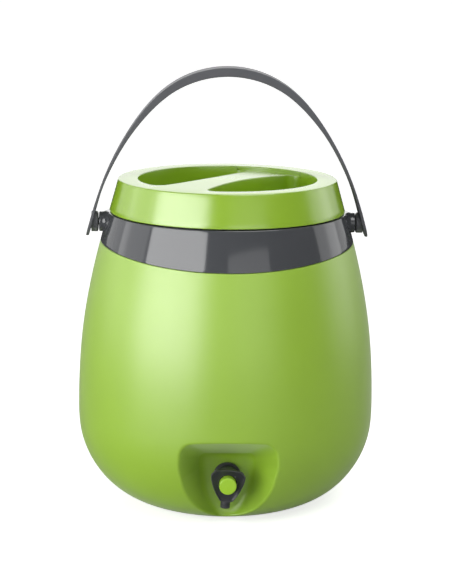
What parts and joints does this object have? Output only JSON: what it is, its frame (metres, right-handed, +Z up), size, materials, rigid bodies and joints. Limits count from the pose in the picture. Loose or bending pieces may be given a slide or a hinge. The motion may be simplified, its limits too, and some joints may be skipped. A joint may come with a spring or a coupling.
{
  "type": "insulated drinks jug",
  "caption": "Insulated drinks jug with a tapered body, screw lid with a recessed grip, swinging bail handle and push-button tap in a niche.",
  "frame": {"origin": "centre of the base at ground level, below the jug's axis", "axes": "+Z up along the jug's axis, -Y towards the tap, X through both handle pivots"},
  "size_m": [0.292, 0.292, 0.4249],
  "materials": {
    "body_green": "satin moulded plastic",
    "lid_green": "gloss moulded plastic",
    "collar_grey": "gloss moulded plastic",
    "bail_grey": "matt moulded plastic",
    "liner_white": "smooth food-grade plastic",
    "foam": "rigid insulating foam",
    "tap_grey": "satin moulded plastic",
    "button_green": "gloss moulded plastic",
    "rubber_dark": "soft rubber",
    "seal_clear": "silicone rubber",
    "steel": "spring wire",
    "pin_grey": "moulded acetal"
  },
  "bodies": {
    "jug": {"outer_shell": "body_green", "base_cap": "body_green", "foam_fill_plug": "body_green", "foot_pads": "rubber_dark", "foam_insulation": "foam", "inner_liner": "liner_white", "collar_band": "collar_grey", "tap_body": "tap_grey", "tap_outer_gasket": "rubber_dark", "tap_inner_gasket": "rubber_dark", "tap_wall_sleeve": "liner_white", "tap_nut": "tap_grey", "stem_guide": "tap_grey", "stem_ring": "rubber_dark", "tap_spring": "steel"},
    "bail": {"bail_handle": "bail_grey", "pivot_pins": "pin_grey"},
    "seal": {"lid_seal": "seal_clear"},
    "lid": {"lid_shell": "lid_green", "lid_plug": "liner_white", "lid_foam": "foam"},
    "plunger": {"tap_button": "button_green", "tap_stem": "tap_grey", "tap_valve": "rubber_dark"}
  },
  "joints": [
    {"name": "bail_swing", "type": "hinge", "parent": "jug", "child": "bail", "pos_m": [0, 0, 0.274], "axis": [1, 0, 0], "range_deg": [-90, 90]},
    {"name": "lid_rise", "type": "slide", "parent": "jug", "child": "seal", "axis": [0, 0, 1], "range_m": [0, 0.016]},
    {"name": "lid_turn", "type": "hinge", "parent": "seal", "child": "lid", "pos_m": [0, 0, 0.286], "axis": [0, 0, 1], "range_deg": [0, 720]},
    {"name": "tap_press", "type": "slide", "parent": "jug", "child": "plunger", "axis": [0, 1, 0], "range_m": [0, 0.0045], "stiffness_N_per_m": 800, "springref_m": -0.004, "deforming": ["tap_spring"]}
  ],
  "couplings": [
    {"joint": "lid_rise", "follows": "lid_turn", "m_per_rad": 0.0012732}
  ]
}
